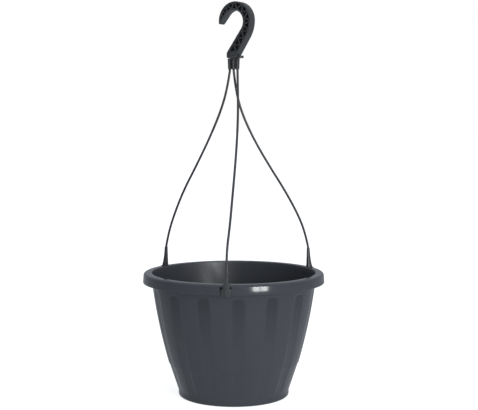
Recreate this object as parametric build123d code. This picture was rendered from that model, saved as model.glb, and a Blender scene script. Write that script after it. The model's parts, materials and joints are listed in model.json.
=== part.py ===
from build123d import *
import math
import os

# Hanging basket: a round moulded pot with a turned-down rim, carried by a moulded hanger. Three slack
# strands run from clips in the rim to a flat hub, and a trussed hook turns on the hub's stud.
# Millimetres, +Z up. The origin is the centre of the pot's base, on the surface that it stands on.
# The hook lies in the XZ plane, and the left strand runs towards -X.

# ---- pot ----
POT_HEIGHT = 171.0
RIM_RADIUS = 125.2
RIM_THICKNESS = 2.0
SKIRT_DROP = 13.5           # from the top of the rim to the skirt's lower edge
SKIRT_WALL = 1.6
SKIRT_FLARE = 0.9           # how much wider the skirt is at its lower edge than at its shoulder
SHOULDER_ROUND = 3.6
MOUTH_ROUND = 1.4
WALL = 1.6
RIM_OVERHANG = 11.1         # from the wall's outer face, where it meets the rim, to the skirt's lower edge
WALL_BELLY = 2.7            # how far the upper wall swells out from a straight cone
LEDGE_HEIGHT = 46.5         # a fine step runs round the pot at this height
LEDGE_RADIUS = 90.2
LEDGE_STEP = 0.7
FOOT_RADIUS = 76.6
FOOT_BAND = 8.0             # near-vertical band at the base
FOOT_ROUND = 3.0
FOOT_RING_WIDTH = 6.0
FLOOR_LIFT = 4.0            # the floor is raised inside the foot ring
FLOOR_THICKNESS = 2.0
FLUTE_COUNT = 15
FLUTE_ANGLE = 8.6
FLUTE_PHASE = 7.5           # from the front clip to the next flute
FLUTE_DEPTH = 0.7
FLUTE_TOP_DROP = 6.5        # below the skirt's lower edge
FLUTE_BOTTOM = 12.0
FLUTE_CORNER = 6.0
DRAIN_COUNT = 6
DRAIN_RADIUS = 4.5
DRAIN_CIRCLE_RADIUS = 55.0

# ---- clips in the rim ----
STATIONS = {"left": 180.0, "front": -60.0, "rear": 60.0}
GUSSET_THICKNESS = 3.6
GUSSET_RISE = 27.0          # top of the gusset over the rim
GUSSET_NECK = 3.4           # radial width at its top
HEAD_WIDTH = 12.6           # the head hangs in the skirt's notch
HEAD_DEPTH = 5.7            # radial
HEAD_TAIL = 2.0             # how far the head hangs below the skirt
SADDLE_WIDTH = 9.1          # the saddle fills the slot in the top of the rim
SADDLE_SET_OUT = 2.1        # from the wall's outer face to the saddle
OPEN_SIDE_GAP = 2.2         # the skirt's notch is wider than the head on one side
CLIP_LIFT = 2.4             # lift before a clip's head meets the rim from below
NOTCH_LIP = 0.5             # rim left over the skirt's notch, beyond its thickness

# ---- strands and hub ----
OVERALL_HEIGHT = 540.0
STRAND_DIAMETER = 3.2
ROOT_SPACING = 6.3          # from strand to strand at the hub
HUB_THICKNESS = 5.0
HUB_HEIGHT = 14.4
HUB_SHOULDER = 0.7          # hub's top edge beyond its bottom edge
HUB_GROOVE_WIDTH = 2.4
HUB_GROOVE_DEPTH = 1.3
HUB_HEADER = 2.6            # plain band over the grooves
HUB_EDGE_ROUND = 1.0
KNUCKLE_LENGTH = 3.2

# Each strand's bends, from hub to clip: share of the way down, share of the way out, sideways mm.
BENDS = {
    "left": [(0.102, 0.040, 0.0), (0.230, 0.146, 0.0), (0.375, 0.313, 0.0), (0.523, 0.508, 0.0),
             (0.671, 0.716, 0.0), (0.820, 0.877, 0.0), (0.932, 0.968, 0.0)],
    "front": [(0.102, 0.033, 6.2), (0.230, 0.123, 7.3), (0.375, 0.285, 7.3), (0.523, 0.485, 6.3),
              (0.671, 0.700, 4.8), (0.820, 0.875, 2.9), (0.932, 0.968, 0.0)],
    "rear": [(0.102, 0.025, 0.0), (0.230, 0.102, 0.0), (0.375, 0.259, 0.0), (0.523, 0.462, 0.0),
             (0.671, 0.684, 0.0), (0.820, 0.874, 0.0), (0.932, 0.969, 0.0)],
}
ROOT_ORDER = {"left": -1, "rear": 0, "front": 1}
ARC_SHARE = 0.45            # share of the shorter run that a bend's arc takes

# ---- hook ----
HOOK_HEIGHT = 76.0
HOOK_THICKNESS = 12.0
SEAT_RADIUS = 16.0
SEAT_OFFSET = 3.0           # seat's axis from the swivel axis
CROWN_RADIUS = 25.6         # outer arc over the seat
CROWN_OFFSET = 5.0
SEAT_BELOW_CROWN = 1.9      # seat's axis below the outer arc's axis
BACK_RADIUS = 42.4          # larger outer arc down the back
LEG_LEAN = 33.6             # outer edge of the leg, from vertical
THROAT_LEAN = 36.5          # inner edge of the leg, from vertical
TIP_ANGLE = 185.0           # where the outer arc ends
TIP_FLARE_ANGLE = 140.0     # where the seat's arc gives way to the straight lead-in
TIP_LEAD = 14.5             # length of the lead-in
TIP_ROUND = 1.2             # how far the tip bulges
TIP_CORNER = 2.2            # rounds the tip's corners, across the hook's thickness
BASE_LEFT = 7.6
BASE_PLATE = 3.2
BASE_ROUND = 2.6
TAB_REACH = 14.6
TAB_WIDTH = 8.0
FLANGE_WALL = 2.2
HOOK_WEB = 1.8
RIB_WIDTH = 1.5
RIB_SET_BACK = 0.4          # ribs stop short of the flange edges
RIB_STEP = 5.5
RIB_TILT = 30.0
RIB_LENGTH = 19.0           # more than the pocket's width, which trims it
TRUSS_ARC_START = -10.0     # where the ribs leave the arc over the seat, for the leg
TRUSS_ARC_SWEEP = 175.0

# ---- swivel and clearances ----
STUD_RADIUS = 2.4
STUD_HEAD_RADIUS = 3.9
STUD_HEAD_HEIGHT = 2.8
STUD_ROOT = 1.0             # how deep the stud is buried in the hub
CHAMBER_ROOF = 1.4          # plastic left over the stud's head
CHAMBER_WALL = 0.7          # plastic left between the stud's chamber and the shallow pockets beside it
SWIVEL_PLAY = 0.08          # radial, stud in its bore
GAP = 0.3                   # between bodies that pass each other
CUT_MARGIN = 1.0            # how far a cutting shape runs past what it cuts

# ---- how boxes and cylinders stand on their own origins ----
STANDING = (Align.CENTER, Align.CENTER, Align.MIN)
OUTWARD = (Align.MIN, Align.CENTER, Align.MIN)

# ---- sizes that follow ----
rim_underside = POT_HEIGHT - RIM_THICKNESS
wall_top_radius = RIM_RADIUS - RIM_OVERHANG
skirt_bottom = POT_HEIGHT - SKIRT_DROP
hook_base = OVERALL_HEIGHT - HOOK_HEIGHT
hub_top = hook_base - GAP
hub_bottom = hub_top - HUB_HEIGHT
strand_radius = STRAND_DIAMETER / 2
pivot_height = hub_bottom - GAP - strand_radius
gusset_top = POT_HEIGHT + GUSSET_RISE
saddle_inner = wall_top_radius + SADDLE_SET_OUT
gusset_centre = saddle_inner + GUSSET_NECK / 2
notch_top = rim_underside - NOTCH_LIP
head_top = notch_top - GAP - CLIP_LIFT
head_bottom = skirt_bottom - HEAD_TAIL
head_inner = RIM_RADIUS - HEAD_DEPTH
crown_axis = OVERALL_HEIGHT - CROWN_RADIUS
seat_axis = crown_axis - SEAT_BELOW_CROWN


def polar(centre, radius, angle):
    """A point on a circle, with the angle in degrees."""
    a = math.radians(angle)
    return (centre[0] + radius * math.cos(a), centre[1] + radius * math.sin(a))


def wall_face(inset):
    """Edges of the wall's outer face, moved inwards by inset, from the foot band up to the rim."""
    slope = math.atan2(wall_top_radius - LEDGE_RADIUS, rim_underside - LEDGE_HEIGHT)
    middle = ((wall_top_radius + LEDGE_RADIUS) / 2 + WALL_BELLY * math.cos(slope) - inset,
              (rim_underside + LEDGE_HEIGHT) / 2 - WALL_BELLY * math.sin(slope))
    foot = (FOOT_RADIUS - inset, FOOT_BAND)
    under_ledge = (LEDGE_RADIUS - LEDGE_STEP - inset, LEDGE_HEIGHT)
    over_ledge = (LEDGE_RADIUS - inset, LEDGE_HEIGHT + LEDGE_STEP)
    top = (wall_top_radius - inset, rim_underside)
    return [Line(foot, under_ledge), Line(under_ledge, over_ledge), ThreePointArc(over_ledge, middle, top)]


def pot_section():
    floor_top = FLOOR_LIFT + FLOOR_THICKNESS
    skirt_top_inner = RIM_RADIUS - SKIRT_FLARE - SKIRT_WALL
    skirt_low_inner = RIM_RADIUS - SKIRT_WALL
    ring_inner = FOOT_RADIUS - FOOT_RING_WIDTH
    outer = wall_face(0)
    inner = wall_face(WALL)
    rim = Polyline(outer[-1] @ 1, (skirt_top_inner, rim_underside), (skirt_low_inner, skirt_bottom),
                   (RIM_RADIUS, skirt_bottom), (RIM_RADIUS - SKIRT_FLARE, POT_HEIGHT),
                   (wall_top_radius - WALL, POT_HEIGHT), inner[-1] @ 1)
    floor = Polyline(inner[0] @ 0, (FOOT_RADIUS - WALL, floor_top), (0, floor_top), (0, FLOOR_LIFT),
                     (ring_inner, FLOOR_LIFT), (ring_inner, 0), (FOOT_RADIUS, 0), outer[0] @ 0)
    section = make_face(outer + [rim] + inner + [floor])

    def corner(r, z):
        return section.vertices().sort_by_distance((r, z, 0))[0]

    rounds = [(RIM_RADIUS - SKIRT_FLARE, POT_HEIGHT, SHOULDER_ROUND),
              (wall_top_radius - WALL, POT_HEIGHT, MOUTH_ROUND), (FOOT_RADIUS, 0, FOOT_ROUND)]
    for r, z, radius in rounds:
        section = fillet(corner(r, z), radius)
    return section


def revolved(section, angle=360.0):
    return revolve(Plane.XZ * section, Axis.Z, angle)


def flutes():
    """Shallow panels sunk into the wall, with round-cornered tops."""
    top = skirt_bottom - FLUTE_TOP_DROP
    sunk, proud = wall_face(FLUTE_DEPTH), wall_face(-2 * FLUTE_DEPTH)
    ends = [Line(sunk[0] @ 0, proud[0] @ 0), Line(sunk[-1] @ 1, proud[-1] @ 1)]
    band = Rot(0, 0, -FLUTE_ANGLE / 2) * revolved(make_face(sunk + proud + ends), FLUTE_ANGLE)
    width = 2 * RIM_RADIUS * math.sin(math.radians(FLUTE_ANGLE / 2))
    outline = Plane.YZ * Pos(0, (top + FLUTE_BOTTOM) / 2) * Rectangle(width, top - FLUTE_BOTTOM)
    window = extrude(outline, RIM_RADIUS)
    window = fillet(window.edges().filter_by(Axis.X).group_by(Axis.Z)[-1], FLUTE_CORNER)
    panel = band & window
    phase = STATIONS["front"] + FLUTE_PHASE
    return [Rot(0, 0, phase + 360 / FLUTE_COUNT * i) * panel for i in range(FLUTE_COUNT)]


def rim_opening():
    """What one clip needs out of the rim: a slot in its top, and a wider notch in its skirt."""
    reach = RIM_RADIUS + CUT_MARGIN
    slot_inner = saddle_inner - 2 * GAP
    slot = Box(reach - slot_inner, SADDLE_WIDTH + 2 * GAP, POT_HEIGHT, align=OUTWARD)
    slot = Pos(slot_inner, 0, skirt_bottom) * slot
    left, right = -HEAD_WIDTH / 2 - OPEN_SIDE_GAP, HEAD_WIDTH / 2 + GAP
    notch_inner = head_inner - CUT_MARGIN
    notch = Box(reach - notch_inner, right - left, notch_top - skirt_bottom + CUT_MARGIN,
                align=(Align.MIN, Align.MIN, Align.MAX))
    return slot + Pos(notch_inner, left, notch_top) * notch


def pot():
    body = revolved(pot_section())
    drain = Pos(DRAIN_CIRCLE_RADIUS, 0, 0) * Cylinder(DRAIN_RADIUS, 3 * (FLOOR_LIFT + FLOOR_THICKNESS))
    drains = [Rot(0, 0, 360 / DRAIN_COUNT * i) * drain for i in range(DRAIN_COUNT)]
    openings = [Rot(0, 0, angle) * rim_opening() for angle in STATIONS.values()]
    return body - flutes() - drains - openings


def root_radius(name):
    """How far out the strand's root stands, measured towards its own clip."""
    return ROOT_ORDER[name] * ROOT_SPACING * math.cos(math.radians(STATIONS[name]))


def root_side(name):
    return -ROOT_ORDER[name] * ROOT_SPACING * math.sin(math.radians(STATIONS[name]))


def strand_points(name):
    """Corners of the strand's route, with its clip towards +X."""
    start = root_radius(name)
    points = [(start, root_side(name), pivot_height)]
    for down, out, side in BENDS[name]:
        points.append((start + out * (gusset_centre - start), side,
                       pivot_height - down * (pivot_height - gusset_top)))
    return points + [(gusset_centre, 0, gusset_top)]


def corner_radii(points):
    """The largest even arcs that the runs leave room for."""
    radii = []
    for a, b, c in zip(points, points[1:], points[2:]):
        run, after = Vector(*b) - Vector(*a), Vector(*c) - Vector(*b)
        half_turn = math.radians(run.get_angle(after)) / 2
        radii.append(ARC_SHARE * min(run.length, after.length) / math.tan(half_turn))
    return radii


def strand(name):
    points = strand_points(name)
    radii = corner_radii(points)
    path = FilletPolyline(*points, radius=radii)
    tube = sweep(Plane(origin=path @ 0, z_dir=path % 0) * Circle(strand_radius), path)
    section = math.pi * strand_radius ** 2
    share = tube.volume / section / path.length
    print("%s strand: length %.1f, volume share %.4f" % (name, path.length, share))
    print("    arc radii", [round(r) for r in radii])
    knuckle = Pos(*points[0]) * Rot(90, 0, 0) * Cylinder(strand_radius, KNUCKLE_LENGTH)
    return Rot(0, 0, STATIONS[name]) * (tube + knuckle)


def clip(name):
    """Gusset over the rim, saddle in the rim's slot, and a head that bears up under the rim."""
    before, last = strand_points(name)[-2:]
    lean = math.atan2(last[0] - before[0], before[2] - last[2])
    half = GUSSET_NECK / 2
    across, down = half * math.cos(lean), half * math.sin(lean)
    side = Polyline((saddle_inner, head_top), (saddle_inner, POT_HEIGHT),
                    (gusset_centre - across, gusset_top - down), (gusset_centre + across, gusset_top + down),
                    (RIM_RADIUS, POT_HEIGHT + SHOULDER_ROUND), (RIM_RADIUS, head_top), close=True)
    gusset = extrude(Plane.XZ * make_face(side), GUSSET_THICKNESS / 2, both=True)
    depth = RIM_RADIUS - saddle_inner
    saddle = Pos(saddle_inner, 0, head_top) * Box(depth, SADDLE_WIDTH, POT_HEIGHT - head_top, align=OUTWARD)
    top_edges = saddle.edges().filter_by(Axis.Y).group_by(Axis.Z)[-1]
    saddle = fillet(top_edges.sort_by(Axis.X)[-1], SHOULDER_ROUND / 2)
    head = Box(HEAD_DEPTH, HEAD_WIDTH, head_top - head_bottom, align=OUTWARD)
    return Rot(0, 0, STATIONS[name]) * (gusset + saddle + Pos(head_inner, 0, head_bottom) * head)


def hub():
    low = ROOT_SPACING + strand_radius
    outline = Polyline((-low, hub_bottom), (low, hub_bottom), (low + HUB_SHOULDER, hub_top),
                       (-low - HUB_SHOULDER, hub_top), close=True)
    plate = extrude(Plane.XZ * make_face(outline), HUB_THICKNESS / 2, both=True)
    sloping = plate.edges().filter_by(Axis.X, reverse=True).filter_by(Axis.Y, reverse=True)
    plate = fillet(sloping, HUB_EDGE_ROUND)
    groove_length = HUB_HEIGHT - HUB_HEADER
    groove = Pos(0, 0, hub_bottom) * Box(HUB_GROOVE_WIDTH, HUB_GROOVE_DEPTH * 2, groove_length * 2)
    grooves = [Pos(x * ROOT_SPACING / 2, y * HUB_THICKNESS / 2, 0) * groove for x in (-1, 1) for y in (-1, 1)]
    head_low = hook_base + BASE_PLATE + GAP
    stud_low = hub_top - STUD_ROOT
    stud = Pos(0, 0, stud_low) * Cylinder(STUD_RADIUS, head_low + STUD_ROOT - stud_low, align=STANDING)
    head = Pos(0, 0, head_low) * Cylinder(STUD_HEAD_RADIUS, STUD_HEAD_HEIGHT, align=STANDING)
    head = chamfer(head.edges().group_by(Axis.Z)[-1], STUD_HEAD_HEIGHT / 3)
    return plate - grooves + stud + head


def leg_corners():
    """The leg's corners: top and foot of its inner edge, then top and foot of its outer edge."""
    plate_top = hook_base + BASE_PLATE
    throat = polar((SEAT_OFFSET, seat_axis), SEAT_RADIUS, -THROAT_LEAN)
    throat_drop = (throat[0] + BASE_LEFT) / math.tan(math.radians(THROAT_LEAN))
    back_end = polar((CROWN_OFFSET + CROWN_RADIUS - BACK_RADIUS, crown_axis), BACK_RADIUS, -LEG_LEAN)
    leg_run = (back_end[1] - plate_top) * math.tan(math.radians(LEG_LEAN))
    return throat, (-BASE_LEFT, throat[1] - throat_drop), back_end, (back_end[0] - leg_run, plate_top)


def tip_points():
    """The tip's outer corner, its lowest point and its inner corner, and where its lead-in starts."""
    outer = polar((CROWN_OFFSET, crown_axis), CROWN_RADIUS, TIP_ANGLE)
    lead_start = polar((SEAT_OFFSET, seat_axis), SEAT_RADIUS, TIP_FLARE_ANGLE)
    inner = polar(lead_start, TIP_LEAD, TIP_FLARE_ANGLE + 90)
    lowest = ((outer[0] + inner[0]) / 2, min(outer[1], inner[1]) - TIP_ROUND)
    return outer, lowest, inner, lead_start


def hook_outline():
    seat, crown = (SEAT_OFFSET, seat_axis), (CROWN_OFFSET, crown_axis)
    back = (CROWN_OFFSET + CROWN_RADIUS - BACK_RADIUS, crown_axis)
    throat, throat_end, back_end, leg_end = leg_corners()
    tip_out, tip_end, tip_in, lead_start = tip_points()
    edges = [
        CenterArc(crown, CROWN_RADIUS, 0, TIP_ANGLE), ThreePointArc(tip_out, tip_end, tip_in),
        Line(tip_in, lead_start), CenterArc(seat, SEAT_RADIUS, -THROAT_LEAN, TIP_FLARE_ANGLE + THROAT_LEAN),
        Polyline(throat, throat_end, (-BASE_LEFT, hook_base), (leg_end[0], hook_base), leg_end, back_end),
        CenterArc(back, BACK_RADIUS, -LEG_LEAN, LEG_LEAN),
    ]
    face = make_face(edges)
    for x, z, radius in ((*throat_end, 2 * BASE_ROUND), (-BASE_LEFT, hook_base, BASE_ROUND)):
        face = fillet(face.vertices().sort_by_distance((x, z, 0))[0], radius)
    return face


def truss_line():
    """The middle of the hook's band, from the tip to the base."""
    middle = ((SEAT_OFFSET + CROWN_OFFSET) / 2, (seat_axis + crown_axis) / 2)
    radius = (SEAT_RADIUS + CROWN_RADIUS) / 2
    arc = CenterArc(middle, radius, TRUSS_ARC_START, TRUSS_ARC_SWEEP)
    throat, throat_end, back_end, leg_end = leg_corners()
    leg_top = ((throat[0] + back_end[0]) / 2, (throat[1] + back_end[1]) / 2)
    leg_foot = ((throat_end[0] + leg_end[0]) / 2, (throat_end[1] + leg_end[1]) / 2)
    bend = TangentArc(arc @ 0, leg_top, tangent=-(arc % 0))
    return arc, bend, Line(leg_top, leg_foot)


def ribs():
    arc, bend, leg = truss_line()
    total = arc.length + bend.length + leg.length
    bars = []
    for i in range(int(total / RIB_STEP)):
        at = (i + 0.5) * RIB_STEP
        if at < arc.length:
            edge, share = arc, 1 - at / arc.length
        elif at < arc.length + bend.length:
            edge, share = bend, (at - arc.length) / bend.length
        else:
            edge, share = leg, (at - arc.length - bend.length) / leg.length
        place, way = edge @ share, edge % share
        heading = math.degrees(math.atan2(way.Y, way.X)) + 90 + (RIB_TILT if i % 2 else -RIB_TILT)
        bars.append(Pos(place.X, place.Y) * Rot(0, 0, heading) * Rectangle(RIB_LENGTH, RIB_WIDTH))
    return Sketch() + bars


def thick(sketch, thickness):
    return extrude(Plane.XZ * sketch, thickness / 2, both=True)


def tip_corners():
    """What is cut from the tip to round its two corners, across the hook's thickness."""
    outer, lowest, inner, lead_start = tip_points()
    corner = Pos(HOOK_THICKNESS / 2, lowest[1]) * Rectangle(2 * TIP_CORNER, 2 * TIP_CORNER)
    corner -= Pos(HOOK_THICKNESS / 2 - TIP_CORNER, lowest[1] + TIP_CORNER) * Circle(TIP_CORNER)
    cutter = extrude(Plane.YZ * corner, -2 * CROWN_RADIUS)
    return [cutter, mirror(cutter, Plane.XZ)]


def hook():
    outline = hook_outline()
    chamber_radius = STUD_HEAD_RADIUS + 2 * GAP
    plate_top = hook_base + BASE_PLATE
    roof = plate_top + 2 * GAP + STUD_HEAD_HEIGHT + CHAMBER_ROOF
    inside = offset(outline, -FLANGE_WALL)
    deep = inside & Pos(0, roof + HOOK_HEIGHT / 2) * Rectangle(4 * CROWN_RADIUS, HOOK_HEIGHT)
    shallow = inside & Pos(0, (plate_top + roof) / 2) * Rectangle(4 * CROWN_RADIUS, roof - plate_top)
    body = thick(outline, HOOK_THICKNESS)
    for pocket, web in ((deep, HOOK_WEB), (shallow, 2 * (chamber_radius + CHAMBER_WALL))):
        body -= thick(pocket, HOOK_THICKNESS + 2 * CUT_MARGIN) - thick(pocket, web)
        body += thick(ribs() & pocket, HOOK_THICKNESS - 2 * RIB_SET_BACK)
    tab = Pos(0, 0, hook_base) * Box(TAB_REACH, TAB_WIDTH, BASE_PLATE, align=OUTWARD)
    tab = fillet(tab.edges().filter_by(Axis.Z).group_by(Axis.X)[-1], TAB_WIDTH / 4)
    bore = Cylinder(STUD_RADIUS + SWIVEL_PLAY, BASE_PLATE + 2 * CUT_MARGIN, align=STANDING)
    chamber = Cylinder(chamber_radius, STUD_HEAD_HEIGHT + 2 * GAP, align=STANDING)
    body = body + tab - tip_corners() - Pos(0, 0, hook_base - CUT_MARGIN) * bore
    return body - Pos(0, 0, plate_top) * chamber


os.makedirs("parts", exist_ok=True)
export_step(pot(), "parts/pot.step")
export_step(hub(), "parts/hub.step")
export_step(hook(), "parts/hook.step")
for station in STATIONS:
    export_step(strand(station), "parts/strand_%s.step" % station)
    export_step(clip(station), "parts/clip_%s.step" % station)
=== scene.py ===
"""Hanging basket: the looks of a moulded plastic hanging pot, its hanger and its hook.

Everything is in metres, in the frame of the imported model. +Z is up, and the origin is the centre of the
pot's base. Each operator makes one piece, or one group of like pieces, and the panel lists them.
"""

import json
import math

import bmesh
import bpy
from bpy.props import FloatProperty, FloatVectorProperty, IntProperty, PointerProperty
from mathutils import Matrix, Vector
from mathutils.geometry import interpolate_bezier


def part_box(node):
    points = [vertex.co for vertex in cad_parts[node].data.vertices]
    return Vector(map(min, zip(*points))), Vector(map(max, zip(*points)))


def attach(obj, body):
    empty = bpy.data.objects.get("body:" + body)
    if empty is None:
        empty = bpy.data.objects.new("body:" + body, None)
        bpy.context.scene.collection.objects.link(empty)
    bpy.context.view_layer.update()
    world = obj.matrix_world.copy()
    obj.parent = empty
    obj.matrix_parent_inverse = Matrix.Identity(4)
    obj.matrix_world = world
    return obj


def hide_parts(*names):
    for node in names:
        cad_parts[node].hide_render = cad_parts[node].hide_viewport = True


bl_info = {
    "name": "Hanging basket",
    "version": (1, 0, 0),
    "blender": (4, 5, 0),
    "location": "View3D > Sidebar > Basket",
    "description": "Makes a moulded hanging pot, its three-strand hanger and its hook",
    "category": "Object",
}

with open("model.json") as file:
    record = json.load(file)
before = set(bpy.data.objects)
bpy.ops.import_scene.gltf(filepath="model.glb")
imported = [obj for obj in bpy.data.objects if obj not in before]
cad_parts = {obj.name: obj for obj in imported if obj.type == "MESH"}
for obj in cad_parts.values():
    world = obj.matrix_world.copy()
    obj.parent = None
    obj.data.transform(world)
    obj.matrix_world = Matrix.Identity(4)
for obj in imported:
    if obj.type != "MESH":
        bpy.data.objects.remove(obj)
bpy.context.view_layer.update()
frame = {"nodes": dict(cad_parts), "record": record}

MM = 0.001
SHARP_ANGLE = math.radians(32)

# ---- places and colours that come from the frame ----
plastics = {m["slot"]: m["base_color"] for m in frame["record"]["materials"]}
pot_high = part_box("pot")[1]
hub_low, hub_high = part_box("hub")
hook_low, hook_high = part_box("hook")
clip_low, clip_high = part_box("clip_left")

# Towards each clip, in degrees about the pot's axis.
STATIONS = {"left": 180.0, "front": -60.0, "rear": 60.0}

# Each strand's bends, from hub to clip: share of the way down, share of the way out, sideways mm.
BENDS = {
    "left": [(0.102, 0.040, 0.0), (0.230, 0.146, 0.0), (0.375, 0.313, 0.0), (0.523, 0.508, 0.0),
             (0.671, 0.716, 0.0), (0.820, 0.877, 0.0), (0.932, 0.968, 0.0)],
    "front": [(0.102, 0.033, 6.2), (0.230, 0.123, 7.3), (0.375, 0.285, 7.3), (0.523, 0.485, 6.3),
              (0.671, 0.700, 4.8), (0.820, 0.875, 2.9), (0.932, 0.968, 0.0)],
    "rear": [(0.102, 0.025, 0.0), (0.230, 0.102, 0.0), (0.375, 0.259, 0.0), (0.523, 0.462, 0.0),
             (0.671, 0.684, 0.0), (0.820, 0.874, 0.0), (0.932, 0.969, 0.0)],
}
ROOT_ORDER = {"left": -1, "rear": 0, "front": 1}


class BasketPotSettings(bpy.types.PropertyGroup):
    """Sizes of the moulded pot."""

    rim_radius: FloatProperty(name="Rim radius", description="Outside of the skirt, at its lower edge",
                              default=pot_high.y, unit="LENGTH", precision=4)
    height: FloatProperty(name="Height", description="From the foot ring to the top of the rim",
                          default=pot_high.z, unit="LENGTH", precision=4)
    wall: FloatProperty(name="Wall", description="Thickness of the wall and the skirt",
                        default=1.6 * MM, unit="LENGTH", precision=4)
    rim_thickness: FloatProperty(name="Rim thickness", description="Thickness of the rim's flat top",
                                 default=2.0 * MM, unit="LENGTH", precision=4)
    skirt_drop: FloatProperty(name="Skirt drop", description="From the rim's top to the skirt's lower edge",
                              default=13.5 * MM, unit="LENGTH", precision=4)
    skirt_flare: FloatProperty(name="Skirt flare", description="How much wider the skirt is at its foot",
                               default=0.9 * MM, unit="LENGTH", precision=4)
    wall_top_radius: FloatProperty(name="Wall top radius", description="Outside of the wall, under the rim",
                                   default=114.1 * MM, unit="LENGTH", precision=4)
    wall_belly: FloatProperty(name="Wall belly", description="How far the upper wall swells from a cone",
                              default=2.7 * MM, unit="LENGTH", precision=4)
    ledge_height: FloatProperty(name="Ledge height", description="Height of the fine step round the pot",
                                default=46.5 * MM, unit="LENGTH", precision=4)
    ledge_radius: FloatProperty(name="Ledge radius", description="Outside of the wall, over the fine step",
                                default=90.2 * MM, unit="LENGTH", precision=4)
    ledge_step: FloatProperty(name="Ledge step", description="Depth and height of the fine step",
                              default=0.7 * MM, unit="LENGTH", precision=4)
    foot_radius: FloatProperty(name="Foot radius", description="Outside of the band at the base",
                               default=76.6 * MM, unit="LENGTH", precision=4)
    foot_band: FloatProperty(name="Foot band", description="Height of the band at the base",
                             default=8.0 * MM, unit="LENGTH", precision=4)
    floor_lift: FloatProperty(name="Floor lift", description="How far the floor stands over the base",
                              default=4.0 * MM, unit="LENGTH", precision=4)
    flute_count: IntProperty(name="Flutes", description="How many shallow panels go round the wall",
                             default=15)
    flute_angle: FloatProperty(name="Flute width", description="Width of one shallow panel, about the axis",
                               default=math.radians(8.6), subtype="ANGLE")
    flute_phase: FloatProperty(name="Flute phase", description="Where the first shallow panel's middle is",
                               default=math.radians(STATIONS["front"] + 7.5), subtype="ANGLE")
    flute_depth: FloatProperty(name="Flute depth", description="How far the shallow panels are sunk",
                               default=0.7 * MM, unit="LENGTH", precision=4)
    drain_count: IntProperty(name="Drain holes", description="How many holes the floor has", default=6)
    drain_radius: FloatProperty(name="Drain radius", description="Radius of one hole in the floor",
                                default=4.5 * MM, unit="LENGTH", precision=4)


class BasketHangerSettings(bpy.types.PropertyGroup):
    """Sizes of the clips, the strands and the hub."""

    strand_diameter: FloatProperty(name="Strand diameter", description="Thickness of a strand",
                                   default=3.2 * MM, unit="LENGTH", precision=4)
    root_spacing: FloatProperty(name="Root spacing", description="From strand to strand at the hub",
                                default=6.3 * MM, unit="LENGTH", precision=4)
    gusset_thickness: FloatProperty(name="Gusset thickness", description="Thickness of the fin over a clip",
                                    default=3.6 * MM, unit="LENGTH", precision=4)
    gusset_neck: FloatProperty(name="Gusset neck", description="Width of the fin at its top",
                               default=3.4 * MM, unit="LENGTH", precision=4)
    saddle_width: FloatProperty(name="Saddle width", description="Width of the block in the rim's slot",
                                default=9.1 * MM, unit="LENGTH", precision=4)
    head_width: FloatProperty(name="Head width", description="Width of the head in the skirt's notch",
                              default=12.6 * MM, unit="LENGTH", precision=4)
    head_depth: FloatProperty(name="Head depth", description="Depth of the head, towards the pot's axis",
                              default=5.7 * MM, unit="LENGTH", precision=4)
    hub_thickness: FloatProperty(name="Hub thickness", description="Thickness of the hub over its ridges",
                                 default=5.0 * MM, unit="LENGTH", precision=4)


class BasketFinishSettings(bpy.types.PropertyGroup):
    """Colours and gloss of the plastics."""

    pot_colour: FloatVectorProperty(name="Pot colour", description="Colour of the pot's plastic",
                                    default=plastics["pot_plastic"], subtype="COLOR", min=0.0, max=1.0)
    hanger_colour: FloatVectorProperty(name="Hanger colour", description="Colour of the hanger's plastic",
                                       default=plastics["hanger_plastic"], subtype="COLOR", min=0.0, max=1.0)
    pot_gloss: FloatProperty(name="Outside roughness", description="Roughness of the pot's polished outside",
                             default=0.14, min=0.0, max=1.0)
    inside_gloss: FloatProperty(name="Inside roughness", description="Roughness of the pot's duller inside",
                                default=0.42, min=0.0, max=1.0)
    hanger_gloss: FloatProperty(name="Hanger roughness", description="Roughness of the hanger's plastic",
                                default=0.38, min=0.0, max=1.0)


class BasketStudioSettings(bpy.types.PropertyGroup):
    """Camera and light."""

    azimuth: FloatProperty(name="Azimuth", description="Where the camera stands, about the pot's axis",
                           default=math.radians(34.4), subtype="ANGLE")
    distance: FloatProperty(name="Distance", description="From the pot's axis to the camera",
                            default=1.5145, unit="LENGTH")
    eye_height: FloatProperty(name="Eye height", description="Height of the camera over the floor",
                              default=0.3821, unit="LENGTH")
    pitch: FloatProperty(name="Pitch", description="How far the camera looks down",
                         default=math.radians(4.48), subtype="ANGLE")
    lens: FloatProperty(name="Lens", description="Focal length in millimetres", default=83.1)
    shift: FloatProperty(name="Shift", description="Sideways shift of the picture", default=0.0111)
    backdrop: FloatProperty(name="Backdrop", description="Brightness of the white backdrop",
                            default=1.0, min=0.0)
    fill: FloatProperty(name="Fill", description="Brightness of the soft light from all round",
                        default=0.47, min=0.0)
    fill_colour: FloatVectorProperty(name="Fill colour", description="Colour of the soft light",
                                     default=(0.93, 0.98, 1.07), subtype="COLOR", min=0.0, max=2.0)
    key: FloatProperty(name="Key light", description="Brightness of the pair of panels",
                       default=20.0, min=0.0)


# ---- shapes ----

DOUBLES = 0.002 * MM            # points closer than this are one point


def rounded(before, at, after, radius, steps=5):
    """The arc that rounds the corner at a point of an outline."""
    at = Vector(at)
    back, ahead = (Vector(before) - at).normalized(), (Vector(after) - at).normalized()
    half = back.angle(ahead) / 2
    reach = radius / math.tan(half)
    centre = at + (back + ahead).normalized() * (radius / math.sin(half))
    start, end = (at + back * reach - centre).normalized(), (at + ahead * reach - centre).normalized()
    return [centre + start.slerp(end, i / steps) * radius for i in range(steps + 1)]


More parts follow.
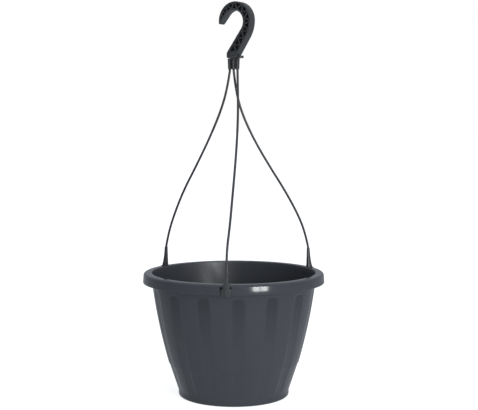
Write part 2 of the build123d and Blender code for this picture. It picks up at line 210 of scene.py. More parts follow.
def outline(corners, closed=True):
    """Points of an outline, from corners given as (across, up, rounding radius)."""
    points = []
    count = len(corners)
    for i, (across, up, radius) in enumerate(corners):
        at_end = not closed and i in (0, count - 1)
        if radius == 0 or at_end:
            points.append(Vector((across, up)))
            continue
        before, after = corners[i - 1], corners[(i + 1) % count]
        points += rounded(before[:2], (across, up), after[:2], radius)
    return points


def face_of(points):
    """A new shape holding one face in the XZ plane."""
    shape = bmesh.new()
    shape.faces.new([shape.verts.new((p[0], 0, p[1])) for p in points])
    return shape


def thickened(shape, thickness):
    """A face in the XZ plane, made a solid that is centred on that plane."""
    made = bmesh.ops.extrude_face_region(shape, geom=shape.faces[:])
    moved = [v for v in made["geom"] if isinstance(v, bmesh.types.BMVert)]
    bmesh.ops.translate(shape, verts=moved, vec=(0, thickness, 0))
    bmesh.ops.translate(shape, verts=shape.verts, vec=(0, -thickness / 2, 0))
    bmesh.ops.recalc_face_normals(shape, faces=shape.faces)
    return shape


def block(low, high):
    """A box between two corners."""
    shape = bmesh.new()
    low, high = Vector(low), Vector(high)
    place = Matrix.Translation((low + high) / 2) @ Matrix.Diagonal((*(high - low), 1))
    bmesh.ops.create_cube(shape, size=1, matrix=place)
    return shape


def eased(shape, width, angle=30, segments=3):
    """Rounds every edge that turns by more than an angle in degrees."""
    sharp = [e for e in shape.edges if len(e.link_faces) == 2 and e.calc_face_angle() > math.radians(angle)]
    bmesh.ops.bevel(shape, geom=sharp, offset=width, segments=segments, profile=0.5, affect="EDGES",
                    material=-1, clamp_overlap=True)
    return shape


def faced_outwards(shape):
    """A closed shell with its doubles merged and every face pointing out."""
    bmesh.ops.remove_doubles(shape, verts=shape.verts, dist=DOUBLES)
    bmesh.ops.recalc_face_normals(shape, faces=shape.faces)
    if shape.calc_volume(signed=True) < 0:
        bmesh.ops.reverse_faces(shape, faces=shape.faces)
    return shape


def combined(shape, other, operation):
    """One shape joined to another, or cut by it. Both are used up."""
    objects = []
    for part in (shape, other):
        mesh = bpy.data.meshes.new("part")
        part.to_mesh(mesh)
        part.free()
        objects.append(bpy.data.objects.new("part", mesh))
        bpy.context.scene.collection.objects.link(objects[-1])
    body, tool = objects
    modifier = body.modifiers.new("Combine", "BOOLEAN")
    modifier.operation = operation
    modifier.solver = "EXACT"
    modifier.object = tool
    made = bmesh.new()
    made.from_object(body, bpy.context.evaluated_depsgraph_get())
    for used in objects:
        mesh = used.data
        bpy.data.objects.remove(used)
        bpy.data.meshes.remove(mesh)
    return made


def merged(*shapes):
    """Several shapes in one, each still a shell of its own. They are used up."""
    whole = bmesh.new()
    for shape in shapes:
        mesh = bpy.data.meshes.new("part")
        shape.to_mesh(mesh)
        shape.free()
        whole.from_mesh(mesh)
        bpy.data.meshes.remove(mesh)
    return whole


def turned(shape, degrees):
    """The shape, turned about the pot's axis."""
    turn = Matrix.Rotation(math.radians(degrees), 3, "Z")
    bmesh.ops.rotate(shape, verts=shape.verts, cent=(0, 0, 0), matrix=turn)
    return shape


def add_piece(shape, name, body, materials, node):
    """Makes a shape a piece that rides on a body and stands for a node."""
    mesh = bpy.data.meshes.new(name)
    shape.to_mesh(mesh)
    shape.free()
    mesh.shade_smooth()
    mesh.set_sharp_from_angle(angle=SHARP_ANGLE)
    for material in materials:
        mesh.materials.append(material)
    piece = bpy.data.objects.new(name, mesh)
    bpy.context.scene.collection.objects.link(piece)
    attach(piece, body)
    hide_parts(node)
    return piece


# ---- finishes ----

PLASTIC_IOR = 1.45
# Painted shade: the flutes' upper ends under the skirt keep only this share of the colour.
FLUTE_PAINTED_DARKENING = 0.65          # share of its colour that the plastic keeps at the top of a flute

# Each texture: its scale, its detail, and how it is drawn out along X, Y and Z.
FLOW_MARKS = (14, 3, (1, 1, 0.22))
GLOSS_PATCHES = (46, 6, (1, 1, 0.5))
RIPPLES = (34, 2, (1, 1, 0.35))
GRAIN = (1900, 4, (1, 1, 1))
TEXTURE_SPAN = (0.3, 0.7)       # where most of a texture's values lie
COLOUR_SPAN = (0.88, 1.12)      # the plastic's colour, from the darkest flow mark to the lightest
GLOSS_SPAN = (0.82, 1.22)       # its roughness, from the glossiest patch to the dullest
RIPPLE_HEIGHT = 0.4 * MM
GRAIN_HEIGHT = 0.05 * MM


def moulded_plastic(name, colour, roughness, ripple, grain, painted_shade_name=""):
    """Moulded plastic: flow marks in its colour, uneven gloss, a faint ripple and a fine grain."""
    found = bpy.data.materials.get(name)
    if found:
        return found
    material = bpy.data.materials.new(name)
    material.use_nodes = True
    nodes, links = material.node_tree.nodes, material.node_tree.links
    shader = nodes["Principled BSDF"]
    shader.inputs["IOR"].default_value = PLASTIC_IOR
    place = nodes.new("ShaderNodeTexCoord")

    def noise(scale, detail, stretch):
        mapping = nodes.new("ShaderNodeMapping")
        mapping.inputs["Scale"].default_value = stretch
        links.new(place.outputs["Object"], mapping.inputs["Vector"])
        texture = nodes.new("ShaderNodeTexNoise")
        texture.inputs["Scale"].default_value = scale
        texture.inputs["Detail"].default_value = detail
        links.new(mapping.outputs["Vector"], texture.inputs["Vector"])
        return texture.outputs["Fac"]

    def between(value, low, high):
        spread = nodes.new("ShaderNodeMapRange")
        spread.inputs["From Min"].default_value, spread.inputs["From Max"].default_value = TEXTURE_SPAN
        spread.inputs["To Min"].default_value = low
        spread.inputs["To Max"].default_value = high
        links.new(value, spread.inputs["Value"])
        return spread.outputs["Result"]

    shade = nodes.new("ShaderNodeMix")
    shade.data_type = "RGBA"
    shade.inputs["A"].default_value = (*[c * COLOUR_SPAN[0] for c in colour], 1)
    shade.inputs["B"].default_value = (*[c * COLOUR_SPAN[1] for c in colour], 1)
    links.new(noise(*FLOW_MARKS), shade.inputs["Factor"])
    links.new(shade.outputs["Result"], shader.inputs["Base Color"])
    # Painted shade: darker colour where the named attribute marks the flutes' upper ends.
    if painted_shade_name:
        mark = nodes.new("ShaderNodeAttribute")
        mark.attribute_name = painted_shade_name
        darker = nodes.new("ShaderNodeMix")
        darker.data_type = "RGBA"
        darker.inputs["B"].default_value = (*[c * FLUTE_PAINTED_DARKENING for c in colour], 1)
        links.new(mark.outputs["Fac"], darker.inputs["Factor"])
        links.new(shade.outputs["Result"], darker.inputs["A"])
        links.new(darker.outputs["Result"], shader.inputs["Base Color"])
    dullness = between(noise(*GLOSS_PATCHES), roughness * GLOSS_SPAN[0], roughness * GLOSS_SPAN[1])
    links.new(dullness, shader.inputs["Roughness"])

    waves = nodes.new("ShaderNodeBump")
    waves.inputs["Strength"].default_value = ripple
    waves.inputs["Distance"].default_value = RIPPLE_HEIGHT
    links.new(noise(*RIPPLES), waves.inputs["Height"])
    fine = nodes.new("ShaderNodeBump")
    fine.inputs["Strength"].default_value = grain
    fine.inputs["Distance"].default_value = GRAIN_HEIGHT
    links.new(noise(*GRAIN), fine.inputs["Height"])
    links.new(waves.outputs["Normal"], fine.inputs["Normal"])
    links.new(fine.outputs["Normal"], shader.inputs["Normal"])
    return material


def polished_outside(context):
    """The plastic of the pot's outside, with painted shade darkening the flutes' tops under the skirt."""
    finish = context.scene.basket_finish
    return moulded_plastic("polished_outside", finish.pot_colour, finish.pot_gloss, 0.12, 0.08, FLUTE_PAINTED_SHADE)


def dull_inside(context):
    """The plastic of the pot's inside."""
    finish = context.scene.basket_finish
    return moulded_plastic("dull_inside", finish.pot_colour, finish.inside_gloss, 0.18, 0.25)


def hanger_satin(context):
    """The plastic of the clips, the strands, the hub and the hook."""
    finish = context.scene.basket_finish
    return moulded_plastic("hanger_satin", finish.hanger_colour, finish.hanger_gloss, 0.15, 0.30)


# ---- pot ----

COLUMNS = 18                    # faces round the pot, in each flute's share of it
WALL_ROWS = 44
EDGE_SHARE = 0.35               # how far columns are drawn towards the flutes' edges
FLUTE_SOFT = 3.0 * MM           # how far a flute's edge takes to reach its full depth
FLUTE_CORNER = 6.0 * MM
FLUTE_BOTTOM = 12.0 * MM
FLUTE_TOP_DROP = 6.5 * MM       # below the skirt's lower edge
# Painted shade under the skirt: the attribute that marks the flutes' upper ends, and how far down it fades.
FLUTE_PAINTED_SHADE = "flute_painted_shade"
FLUTE_PAINTED_SHADE_REACH = 80 * MM     # how far down the flutes their darker ends fade out
FIT = 0.3 * MM                  # clearance round a clip in the rim
FLOOR_THICKNESS = 2.0 * MM
FOOT_RING_WIDTH = 6.0 * MM
DRAIN_CIRCLE_RADIUS = 55.0 * MM
CLIP_LIFT = 2.4 * MM            # lift before a clip's head meets the rim from below
OPEN_SIDE_GAP = 2.2 * MM        # the skirt's notch is wider than the head on one side
NOTCH_LIP = 0.5 * MM
SADDLE_SET_OUT = 2.1 * MM       # from the wall's outer face to the saddle
PAST = 1.0 * MM                 # how far a cutting shape runs past what it cuts
DRAIN_CUTTER_DEPTH = 20 * MM
INSIDE_FROM = 0.7               # share of the wall's thickness past which a face is dull
FLOOR_REACH = 0.5 * MM          # how far under the floor's top a face may be and still be dull

# Roundings of the pot's section, from the floor's underside round to its top.
RING_ROOT_ROUND = 1 * MM
RING_INNER_ROUND = 0.8 * MM
FOOT_ROUND = 3 * MM
WALL_TOP_ROUND = 1.2 * MM
SKIRT_ROOT_ROUND = 1.6 * MM
SKIRT_INNER_ROUND = 0.5 * MM
SKIRT_OUTER_ROUND = 0.6 * MM
RIM_OUTER_ROUND = 3.6 * MM
RIM_INNER_ROUND = 1.3 * MM
FLOOR_EDGE_ROUND = 1.4 * MM


def wall_radius(pot, up):
    """Outside radius of the wall at a height, with no flutes."""
    if up <= pot.ledge_height:
        share = (up - pot.foot_band) / (pot.ledge_height - pot.foot_band)
        return pot.foot_radius + share * (pot.ledge_radius - pot.ledge_step - pot.foot_radius)
    top = pot.height - pot.rim_thickness
    share = (up - pot.ledge_height) / (top - pot.ledge_height)
    belly = 4 * pot.wall_belly * share * (1 - share)
    return pot.ledge_radius + share * (pot.wall_top_radius - pot.ledge_radius) + belly


def wall_line(pot, inset, rows):
    """Points up the wall's face, from the foot band to the rim, closest where the flutes end."""
    top = pot.height - pot.rim_thickness
    above_ledge = pot.ledge_height + pot.ledge_step
    flute_end = pot.height - pot.skirt_drop - FLUTE_TOP_DROP - 2 * FLUTE_CORNER
    stretches = [(pot.foot_band, pot.ledge_height, rows // 4), (above_ledge, flute_end, rows),
                 (flute_end + MM, top, rows // 2)]
    ups = [low + (high - low) * i / count for low, high, count in stretches for i in range(count + 1)]
    return [Vector((wall_radius(pot, up) - inset, up)) for up in ups]


def pot_profile(pot):
    """The pot's section, from the middle of the floor's underside round to the middle of its top."""
    top, under = pot.height, pot.height - pot.rim_thickness
    skirt_low = pot.height - pot.skirt_drop
    ring_inner = pot.foot_radius - FOOT_RING_WIDTH
    floor_top = pot.floor_lift + FLOOR_THICKNESS
    outer, inner = wall_line(pot, 0, WALL_ROWS), wall_line(pot, pot.wall, WALL_ROWS // 4)
    base = outline([(0, pot.floor_lift, 0), (ring_inner, pot.floor_lift, RING_ROOT_ROUND),
                    (ring_inner, 0, RING_INNER_ROUND), (pot.foot_radius, 0, FOOT_ROUND), (*outer[0], 0)],
                   closed=False)
    skirt_out, skirt_in = pot.rim_radius, pot.rim_radius - pot.wall
    rim = outline([(*outer[-2], 0), (*outer[-1], WALL_TOP_ROUND),
                   (skirt_in - pot.skirt_flare, under, SKIRT_ROOT_ROUND),
                   (skirt_in, skirt_low, SKIRT_INNER_ROUND), (skirt_out, skirt_low, SKIRT_OUTER_ROUND),
                   (skirt_out - pot.skirt_flare, top, RIM_OUTER_ROUND),
                   (inner[-1].x, top, RIM_INNER_ROUND), (*inner[-2], 0)], closed=False)
    floor = outline([(*inner[0], 0), (pot.foot_radius - pot.wall, floor_top, FLOOR_EDGE_ROUND),
                     (0, floor_top, 0)], closed=False)
    return base + outer[1:-2] + rim + inner[1:-2][::-1] + floor


def draw_columns(shape, pot):
    """Draws the columns of vertices together at the flutes' edges, where the surface bends most."""
    pitch = math.tau / pot.flute_count
    edge = pot.flute_angle / 2
    for vert in shape.verts:
        radius = math.hypot(vert.co.x, vert.co.y)
        turn = math.atan2(vert.co.y, vert.co.x) - pot.flute_phase
        middle = round(turn / pitch) * pitch
        off = turn - middle
        low, high = (0, edge) if abs(off) < edge else (edge, pitch / 2)
        share = (abs(off) - low) / (high - low)
        share = share if low else 1 - share
        drawn = share * (1 - EDGE_SHARE) + EDGE_SHARE * share * share
        drawn = drawn if low else 1 - drawn
        turn = pot.flute_phase + middle + math.copysign(low + drawn * (high - low), off)
        vert.co.x, vert.co.y = radius * math.cos(turn), radius * math.sin(turn)


def flute_share(pot, place):
    """How far a point of the wall's outer face lies in a shallow panel, from 0 to 1."""
    pitch = math.tau / pot.flute_count
    top = pot.height - pot.skirt_drop - FLUTE_TOP_DROP
    radius = math.hypot(place.x, place.y)
    outside = radius > wall_radius(pot, place.z) - pot.wall / 2
    if not pot.foot_band < place.z < top + FLUTE_SOFT or not outside:
        return 0
    turn = math.atan2(place.y, place.x) - pot.flute_phase
    across = abs((turn + pitch / 2) % pitch - pitch / 2) * radius
    side = across - radius * pot.flute_angle / 2
    over = place.z - top
    corner = math.hypot(max(side + FLUTE_CORNER, 0), max(over + FLUTE_CORNER, 0)) - FLUTE_CORNER
    edge = max(corner, FLUTE_BOTTOM - place.z)
    share = min(max(0.5 - edge / FLUTE_SOFT, 0), 1)
    return share * share * (3 - 2 * share)


def press_flutes(shape, pot):
    """Sinks the shallow panels into the wall's outer face."""
    for vert in shape.verts:
        shrink = 1 - pot.flute_depth * flute_share(pot, vert.co) / max(math.hypot(vert.co.x, vert.co.y), MM)
        vert.co.x *= shrink
        vert.co.y *= shrink


def paint_flute_shade(shape, pot):
    """Marks the flutes' upper ends in an attribute, where shade under the skirt is painted into the colour.
    """
    layer = shape.verts.layers.float.new(FLUTE_PAINTED_SHADE)
    top = pot.height - pot.skirt_drop
    for vert in shape.verts:
        fade = min(max(1 - (top - vert.co.z) / FLUTE_PAINTED_SHADE_REACH, 0), 1)
        vert[layer] = flute_share(pot, vert.co) * fade


def rim_opening(pot, hanger):
    """What one clip needs out of the rim: a slot in its top, and a wider notch in its skirt."""
    reach = pot.rim_radius + PAST
    half_slot = hanger.saddle_width / 2 + FIT
    half_head = hanger.head_width / 2
    low = pot.height - pot.skirt_drop
    notch_top = pot.height - pot.rim_thickness - NOTCH_LIP
    slot_inner = pot.wall_top_radius + SADDLE_SET_OUT - 2 * FIT
    notch_inner = pot.rim_radius - hanger.head_depth - PAST
    slot = block((slot_inner, -half_slot, low), (reach, half_slot, pot.height + PAST))
    notch = block((notch_inner, -half_head - OPEN_SIDE_GAP, low - PAST), (reach, half_head + FIT, notch_top))
    return combined(slot, notch, "UNION")


class BASKET_OT_add_pot(bpy.types.Operator):
    """Make the moulded pot, with its turned-down rim, flutes, clip openings and drained floor"""

    bl_idname = "basket.add_pot"
    bl_label = "Add pot"

    def execute(self, context):
        pot, hanger = context.scene.basket_pot, context.scene.basket_hanger
        shape = bmesh.new()
        line = [shape.verts.new((p.x, 0, p.y)) for p in pot_profile(pot)]
        for a, b in zip(line, line[1:]):
            shape.edges.new((a, b))
        turned(shape, math.degrees(pot.flute_phase))
        bmesh.ops.spin(shape, geom=shape.verts[:] + shape.edges[:], cent=(0, 0, 0), axis=(0, 0, 1),
                       angle=math.tau, steps=COLUMNS * pot.flute_count, use_merge=True)
        faced_outwards(shape)
        draw_columns(shape, pot)
        press_flutes(shape, pot)
        drains = bmesh.new()
        for i in range(pot.drain_count):
            turn = Matrix.Rotation(math.tau * i / pot.drain_count, 4, "Z")
            place = turn @ Matrix.Translation((DRAIN_CIRCLE_RADIUS, 0, 0))
            bmesh.ops.create_cone(drains, segments=40, radius1=pot.drain_radius, radius2=pot.drain_radius,
                                  depth=DRAIN_CUTTER_DEPTH, cap_ends=True, matrix=place)
        openings = [turned(rim_opening(pot, hanger), angle) for angle in STATIONS.values()]
        shape = combined(shape, merged(drains, *openings), "DIFFERENCE")
        paint_flute_shade(shape, pot)
        floor_top = pot.floor_lift + FLOOR_THICKNESS
        for face in shape.faces:
            middle = face.calc_center_median()
            radius = math.hypot(middle.x, middle.y)
            within = radius < wall_radius(pot, max(middle.z, pot.foot_band)) - pot.wall * INSIDE_FROM
            face.material_index = 1 if within and middle.z > floor_top - FLOOR_REACH else 0
        materials = [polished_outside(context), dull_inside(context)]
        add_piece(shape, "moulded_pot", "pot", materials, "pot")
        return {"FINISHED"}


# ---- strands ----

ROOT_SWELL = 0.03 * MM          # the round root stands just proud of its strand


def root_of(name, hanger):
    """Where a strand starts, in its own clip's direction: out, and sideways."""
    turn = math.radians(STATIONS[name])
    offset = ROOT_ORDER[name] * hanger.root_spacing
    return offset * math.cos(turn), -offset * math.sin(turn)


def gusset_place(pot, hanger):
    """Middle of the gusset's neck: out from the axis, and up."""
    return pot.wall_top_radius + SADDLE_SET_OUT + hanger.gusset_neck / 2, clip_high.z


def strand_route(name, pot, hanger):
    """Points of a strand's route, from the hub to its clip."""
    out_start, side_start = root_of(name, hanger)
    out_end, low = gusset_place(pot, hanger)
    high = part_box("strand_" + name)[1].z - hanger.strand_diameter / 2
    route = [Vector((out_start, side_start, high))]
    for down, out, side in BENDS[name]:
        route.append(Vector((out_start + out * (out_end - out_start), side * MM, high - down * (high - low))))
    route.append(Vector((out_end, 0, low)))
    return [Matrix.Rotation(math.radians(STATIONS[name]), 3, "Z") @ p for p in route]


def tube_along(route, radius):
    """A closed round tube along a smooth line that the route's points control."""
    curve = bpy.data.curves.new("line", "CURVE")
    curve.dimensions = "3D"
    curve.bevel_depth = radius
    curve.bevel_resolution = 6
    curve.resolution_u = 14
    curve.use_fill_caps = True
    spline = curve.splines.new("NURBS")
    spline.points.add(len(route) - 1)
    for point, place in zip(spline.points, route):
        point.co = (*place, 1)
    spline.order_u = 3
    spline.use_endpoint_u = True
    line = bpy.data.objects.new("line", curve)
    bpy.context.scene.collection.objects.link(line)
    mesh = bpy.data.meshes.new_from_object(line.evaluated_get(bpy.context.evaluated_depsgraph_get()))
    shape = bmesh.new()
    shape.from_mesh(mesh)
    bpy.data.meshes.remove(mesh)
    bpy.data.objects.remove(line)
    bpy.data.curves.remove(curve)
    return faced_outwards(shape)


class BASKET_OT_add_strands(bpy.types.Operator):
    """Make the three slack strands, each with the round root by which it hangs from the hub"""

    bl_idname = "basket.add_strands"
    bl_label = "Add strands"

    def execute(self, context):
        pot, hanger = context.scene.basket_pot, context.scene.basket_hanger
        for name in STATIONS:
            route = strand_route(name, pot, hanger)
            tube = tube_along(route, hanger.strand_diameter / 2)
            root = bmesh.new()
            bmesh.ops.create_uvsphere(root, u_segments=28, v_segments=20, matrix=Matrix.Translation(route[0]),
                                      radius=hanger.strand_diameter / 2 + ROOT_SWELL)
            shape = combined(tube, root, "UNION")
            add_piece(shape, "moulded_strand_" + name, "strand_" + name,
                      [hanger_satin(context)], "strand_" + name)
        return {"FINISHED"}


# ---- clips ----

GUSSET_NECK_SHARE = 0.9         # thickness of the fin at its neck and its foot, as shares of the named one
GUSSET_FOOT_SHARE = 1.75
GUSSET_THICKENING = 1.6         # power that keeps most of the thickening low down
GUSSET_EASE = 0.5 * MM
NECK_PULL_OUT = 1.0 * MM        # the pulls that shape the fin's outer curve, at its neck and at its foot
NECK_PULL_DOWN = 12 * MM
EDGE_PULL_IN = 3 * MM
EDGE_PULL_UP = 5 * MM
SWEEP_END_DROP = 1.0 * MM       # from the rim's top down to the curve's end
CLIP_EASE = 0.6 * MM
SADDLE_SET_IN = 0.3 * MM        # from the skirt's outer face in to the saddle's
OVERLAP = 0.5 * MM              # how far the saddle runs down into the head
GROOVE_SIDES = (-3.3 * MM, -2.3 * MM)
GROOVE_DEPTH = 0.8 * MM


def gusset(pot, hanger):
    """The fin over the rim: upright inside, flaring down to the rim's edge, and thicker at its foot."""
    neck_out, neck_up = gusset_place(pot, hanger)
    half = hanger.gusset_neck / 2
    inner = neck_out - half
    edge = pot.rim_radius - pot.skirt_flare
    low = pot.height - pot.rim_thickness
    start = Vector((neck_out + half, neck_up, 0))
    start_pull = Vector((neck_out + half + NECK_PULL_OUT, neck_up - NECK_PULL_DOWN, 0))
    end = Vector((edge, pot.height - SWEEP_END_DROP, 0))
    end_pull = Vector((edge - EDGE_PULL_IN, pot.height + EDGE_PULL_UP, 0))
    sweep = [(p.x, p.y) for p in interpolate_bezier(start, start_pull, end_pull, end, 14)]
    sweep.append((edge, low))
    shape = bmesh.new()
    rows = [(shape.verts.new((inner, 0, up)), shape.verts.new((out, 0, up))) for out, up in sweep]
    for (a, b), (c, d) in zip(rows, rows[1:]):
        shape.faces.new((a, b, d, c))
    thickened(shape, hanger.gusset_thickness)
    for vert in shape.verts:
        down = (neck_up - vert.co.z) / (neck_up - low)
        vert.co.y *= GUSSET_NECK_SHARE + (GUSSET_FOOT_SHARE - GUSSET_NECK_SHARE) * down ** GUSSET_THICKENING
    return eased(shape, GUSSET_EASE, angle=40)


def clip(pot, hanger):
    """A clip towards +X: the saddle in the rim's slot, the head in its notch, and the gusset over them."""
    saddle_inner = pot.wall_top_radius + SADDLE_SET_OUT
    head_top = pot.height - pot.rim_thickness - NOTCH_LIP - FIT - CLIP_LIFT
    half = hanger.saddle_width / 2
    saddle = block((saddle_inner, -half, head_top - OVERLAP),
                   (pot.rim_radius - SADDLE_SET_IN, half, pot.height))
    half = hanger.head_width / 2
    head = block((pot.rim_radius - hanger.head_depth, -half, clip_low.z), (pot.rim_radius, half, head_top))
    eased(saddle, CLIP_EASE)
    eased(head, CLIP_EASE)
    groove = block((pot.rim_radius - GROOVE_DEPTH, GROOVE_SIDES[0], clip_low.z - PAST),
                   (pot.rim_radius + PAST, GROOVE_SIDES[1], pot.height + PAST))
    body = combined(combined(saddle, head, "UNION"), groove, "DIFFERENCE")
    return combined(body, gusset(pot, hanger), "UNION")


class BASKET_OT_add_clips(bpy.types.Operator):
    """Make the three clips, each a gusset, a saddle and a head in the rim"""

    bl_idname = "basket.add_clips"
    bl_label = "Add clips"

    def execute(self, context):
        pot, hanger = context.scene.basket_pot, context.scene.basket_hanger
        for name, angle in STATIONS.items():
            shape = turned(clip(pot, hanger), angle)
            add_piece(shape, "rim_clip_" + name, "strand_" + name, [hanger_satin(context)],
                      "clip_" + name)
        return {"FINISHED"}


# ---- hub ----

HUB_WEB = 1.6 * MM
HUB_RIDGE_WIDTH = 3.5 * MM
HUB_FLARE = 0.7 * MM            # how much further out the hub reaches at its top
HUB_BAND = 2.4 * MM             # height of the plain band at its foot
HUB_BAND_SHARE = 0.4            # half the band's thickness, as a share of the hub's
HUB_BAND_EASE = 0.7 * MM
HUB_RIDGE_EASE = 0.9 * MM
HUB_FOOT_ROUND = 0.8 * MM
HUB_TOP_ROUND = 0.2 * MM
HUB_GAP = 0.12 * MM             # what shows between the hub and the hook
CUP_DEPTH = 1.0 * MM            # how far a cup reaches down round a strand's root
CUP_WALL = 0.35 * MM
CUP_PLAY = 0.08 * MM
STUD_RADIUS = 2.4 * MM
STUD_HEAD_RADIUS = 3.9 * MM
STUD_HEAD_HEIGHT = 2.8 * MM
STUD_HEAD_EASE = 0.5 * MM


def pin(low, high, radius, across=0.0):
    """An upright round bar."""
    shape = bmesh.new()
    bmesh.ops.create_cone(shape, segments=40, radius1=radius, radius2=radius, depth=high - low, cap_ends=True,
                          matrix=Matrix.Translation((across, 0, (low + high) / 2)))
    return shape


def hub_web(hanger, top):
    """The thin plate that joins the ridges, with a thicker plain band at its foot."""
    low = hanger.root_spacing + HUB_RIDGE_WIDTH / 2
    corners = [(-low, hub_low.z, HUB_FOOT_ROUND), (low, hub_low.z, HUB_FOOT_ROUND),
               (low + HUB_FLARE, top, HUB_TOP_ROUND), (-low - HUB_FLARE, top, HUB_TOP_ROUND)]
    web = thickened(face_of(outline(corners)), HUB_WEB)
    half_band = hanger.hub_thickness * HUB_BAND_SHARE
    band = block((-low, -half_band, hub_low.z), (low, half_band, hub_low.z + HUB_BAND))
    return combined(web, eased(band, HUB_BAND_EASE), "UNION")


def hub_ridge(hanger, order, top):
    """One ridge, leaning with the hub's flare."""
    half_width, half_depth = HUB_RIDGE_WIDTH / 2, hanger.hub_thickness / 2
    ridge = block((-half_width, -half_depth, hub_low.z), (half_width, half_depth, top))
    eased(ridge, HUB_RIDGE_EASE)
    for vert in ridge.verts:
        vert.co.x += order * (hanger.root_spacing + HUB_FLARE * (vert.co.z - hub_low.z) / (top - hub_low.z))
    return ridge


class BASKET_OT_add_hub(bpy.types.Operator):
    """Make the flat hub, with a ridge and a cup over each strand, and the stud that the hook turns on"""

    bl_idname = "basket.add_hub"
    bl_label = "Add hub"

    def execute(self, context):
        hanger = context.scene.basket_hanger
        top = hook_low.z - HUB_GAP
        radius = hanger.strand_diameter / 2
        pivot = hub_low.z - FIT - radius
        shape = hub_web(hanger, top)
        for order in ROOT_ORDER.values():
            across = order * hanger.root_spacing
            shape = combined(shape, hub_ridge(hanger, order, top), "UNION")
            cup = pin(hub_low.z - CUP_DEPTH, hub_low.z + HUB_BAND / 2, radius + CUP_PLAY + CUP_WALL, across)
            hollow = bmesh.new()
            bmesh.ops.create_uvsphere(hollow, u_segments=28, v_segments=20, radius=radius + CUP_PLAY,
                                      matrix=Matrix.Translation((across, 0, pivot)))
            shape = combined(combined(shape, cup, "UNION"), hollow, "DIFFERENCE")
        shape = combined(shape, pin(top - PAST, hub_high.z - PAST, STUD_RADIUS), "UNION")
        head = eased(pin(hub_high.z - STUD_HEAD_HEIGHT, hub_high.z, STUD_HEAD_RADIUS), STUD_HEAD_EASE)
        shape = combined(shape, head, "UNION")
        add_piece(shape, "ridged_hub", "hub", [hanger_satin(context)], "hub")
        return {"FINISHED"}


# ---- hook ----

HOOK_EDGE = 0.35 * MM           # bevel of the edges round its two flat sides
FLAT_ANGLE = math.radians(0.5)  # faces that turn by less than this are one face
CORNER_ANGLE = math.radians(60)


class BASKET_OT_add_hook(bpy.types.Operator):
    """Make the trussed hook from its node, with its flat faces whole and its flanges' edges eased"""

    bl_idname = "basket.add_hook"
    bl_label = "Add hook"

    def execute(self, context):
        shape = bmesh.new()
        shape.from_mesh(frame["nodes"]["hook"].data)
        bmesh.ops.remove_doubles(shape, verts=shape.verts, dist=DOUBLES)
        bmesh.ops.dissolve_limit(shape, angle_limit=FLAT_ANGLE, verts=shape.verts, edges=shape.edges)
        side = hook_high.y - 0.01 * MM
        rims = [e for e in shape.edges if all(abs(v.co.y) > side for v in e.verts)
                and e.calc_face_angle(0) > CORNER_ANGLE]
        bmesh.ops.bevel(shape, geom=rims, offset=HOOK_EDGE, segments=2, profile=0.5, affect="EDGES",
                        material=-1, clamp_overlap=True)
        add_piece(shape, "trussed_hook", "hook", [hanger_satin(context)], "hook")
        return {"FINISHED"}


# ---- stage ----

FLOOR_RADIUS = 30.0
FLOOR_ALBEDO = 0.6
FLOOR_GLOW = 0.75               # keeps the floor as white as the backdrop
KEY_TARGET = Vector((0, 0, 0.165))
KEY_DISTANCE = 2.2
KEY_TURN = math.radians(32)     # from the camera, to the middle of the pair of panels
KEY_SPREAD = math.radians(5)
KEY_ELEVATION = math.radians(8.4)
KEY_WIDTH = 0.33
KEY_HEIGHT = 0.86

# Share of the fill, from straight down at 0 to straight up at 1.
FILL_BY_HEIGHT = [(0.28, 1.0), (0.36, 0.76), (0.62, 0.76), (0.99, 1.9)]


def studio_world(studio):
    """A white backdrop, and a soft cool light from all round that is dimmer than it."""
    world = bpy.data.worlds.new("studio")
    world.use_nodes = True
    nodes, links = world.node_tree.nodes, world.node_tree.links
    backdrop = nodes["Background"]
    backdrop.inputs["Color"].default_value = (1, 1, 1, 1)
    backdrop.inputs["Strength"].default_value = studio.backdrop
    fill = nodes.new("ShaderNodeBackground")
    fill.inputs["Color"].default_value = (*studio.fill_colour, 1)
    place = nodes.new("ShaderNodeTexCoord")
    split = nodes.new("ShaderNodeSeparateXYZ")
    links.new(place.outputs["Generated"], split.inputs["Vector"])
    spread = nodes.new("ShaderNodeMapRange")
    spread.inputs["From Min"].default_value = -1
    links.new(split.outputs["Z"], spread.inputs["Value"])
    ramp = nodes.new("ShaderNodeValToRGB").color_ramp
    for position, share in FILL_BY_HEIGHT:
        stop = ramp.elements.new(position)
        stop.color = (share * studio.fill, share * studio.fill, share * studio.fill, 1)
    ramp.elements.remove(ramp.elements[0])
    ramp.elements.remove(ramp.elements[-1])
    links.new(spread.outputs["Result"], nodes["Color Ramp"].inputs["Fac"])
    links.new(nodes["Color Ramp"].outputs["Color"], fill.inputs["Strength"])
    either = nodes.new("ShaderNodeMixShader")
    links.new(nodes.new("ShaderNodeLightPath").outputs["Is Camera Ray"], either.inputs["Fac"])
    links.new(fill.outputs["Background"], either.inputs[1])
    links.new(backdrop.outputs["Background"], either.inputs[2])
    links.new(either.outputs["Shader"], nodes["World Output"].inputs["Surface"])
    return world


def floor_paint():
    """Matt white that glows a little."""
    paint = bpy.data.materials.new("pale_floor")
    paint.use_nodes = True
    shader = paint.node_tree.nodes["Principled BSDF"]
    shader.inputs["Base Color"].default_value = (FLOOR_ALBEDO, FLOOR_ALBEDO, FLOOR_ALBEDO, 1)
    shader.inputs["Roughness"].default_value = 0.9
    shader.inputs["Emission Color"].default_value = (1, 1, 1, 1)
    shader.inputs["Emission Strength"].default_value = FLOOR_GLOW
    return paint


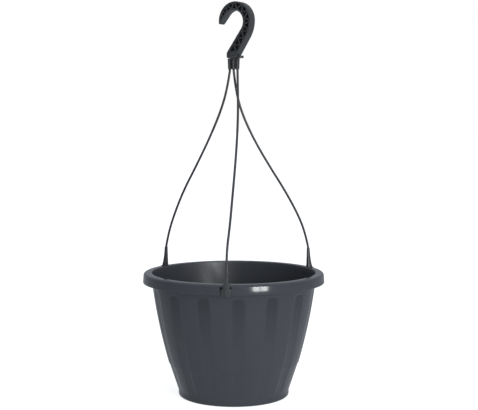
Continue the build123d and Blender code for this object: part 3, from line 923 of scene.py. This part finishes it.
def panel_light(name, azimuth, radiance):
    """A lit upright panel that faces the rim. Its power gives the surface a set brightness."""
    light = bpy.data.lights.new(name, "AREA")
    light.shape = "RECTANGLE"
    light.size, light.size_y = KEY_WIDTH, KEY_HEIGHT
    light.energy = radiance * math.pi * KEY_WIDTH * KEY_HEIGHT
    level = math.cos(KEY_ELEVATION)
    towards = Vector((math.sin(azimuth) * level, -math.cos(azimuth) * level, math.sin(KEY_ELEVATION)))
    lamp = bpy.data.objects.new(name, light)
    lamp.location = KEY_TARGET + towards * KEY_DISTANCE
    lamp.rotation_euler = towards.to_track_quat("Z", "Y").to_euler()
    bpy.context.scene.collection.objects.link(lamp)


class BASKET_OT_add_stage(bpy.types.Operator):
    """Make the pale floor, the white surroundings, the lights and the camera"""

    bl_idname = "basket.add_stage"
    bl_label = "Add stage"

    def execute(self, context):
        scene, studio = context.scene, context.scene.basket_studio
        scene.view_settings.view_transform = "Standard"
        scene.world = studio_world(studio)

        ground = bmesh.new()
        bmesh.ops.create_circle(ground, segments=96, radius=FLOOR_RADIUS, cap_ends=True)
        mesh = bpy.data.meshes.new("pale_floor")
        ground.to_mesh(mesh)
        ground.free()
        mesh.materials.append(floor_paint())
        floor = bpy.data.objects.new("pale_floor", mesh)
        floor.visible_glossy = False
        scene.collection.objects.link(floor)

        for name, turn in (("key_near", -KEY_SPREAD), ("key_far", KEY_SPREAD)):
            panel_light(name, studio.azimuth + KEY_TURN + turn, studio.key)

        camera = bpy.data.cameras.new("camera")
        camera.lens = studio.lens
        camera.sensor_width = 36
        camera.shift_x = studio.shift
        camera.clip_end = 100
        eye = bpy.data.objects.new("camera", camera)
        across, along = math.sin(studio.azimuth), -math.cos(studio.azimuth)
        eye.location = (across * studio.distance, along * studio.distance, studio.eye_height)
        eye.rotation_euler = (math.pi / 2 - studio.pitch, 0, studio.azimuth)
        scene.collection.objects.link(eye)
        scene.camera = eye
        return {"FINISHED"}


class BASKET_PT_panel(bpy.types.Panel):
    """The basket's pieces, in the 3D view's sidebar"""

    bl_label = "Hanging basket"
    bl_idname = "BASKET_PT_panel"
    bl_space_type = "VIEW_3D"
    bl_region_type = "UI"
    bl_category = "Basket"

    def draw(self, context):
        for operator in OPERATORS:
            self.layout.operator(operator.bl_idname)


SETTINGS = {
    "basket_pot": BasketPotSettings,
    "basket_hanger": BasketHangerSettings,
    "basket_finish": BasketFinishSettings,
    "basket_studio": BasketStudioSettings,
}
OPERATORS = (BASKET_OT_add_pot, BASKET_OT_add_strands, BASKET_OT_add_clips, BASKET_OT_add_hub,
             BASKET_OT_add_hook, BASKET_OT_add_stage)


def register():
    for cls in (*SETTINGS.values(), *OPERATORS, BASKET_PT_panel):
        bpy.utils.register_class(cls)
    for name, group in SETTINGS.items():
        setattr(bpy.types.Scene, name, PointerProperty(type=group))


def unregister():
    for name in SETTINGS:
        delattr(bpy.types.Scene, name)
    for cls in reversed((*SETTINGS.values(), *OPERATORS, BASKET_PT_panel)):
        bpy.utils.unregister_class(cls)


def main():
    register()
    bpy.ops.basket.add_pot()
    bpy.ops.basket.add_strands()
    bpy.ops.basket.add_clips()
    bpy.ops.basket.add_hub()
    bpy.ops.basket.add_hook()
    bpy.ops.basket.add_stage()


if __name__ == "__main__":
    main()
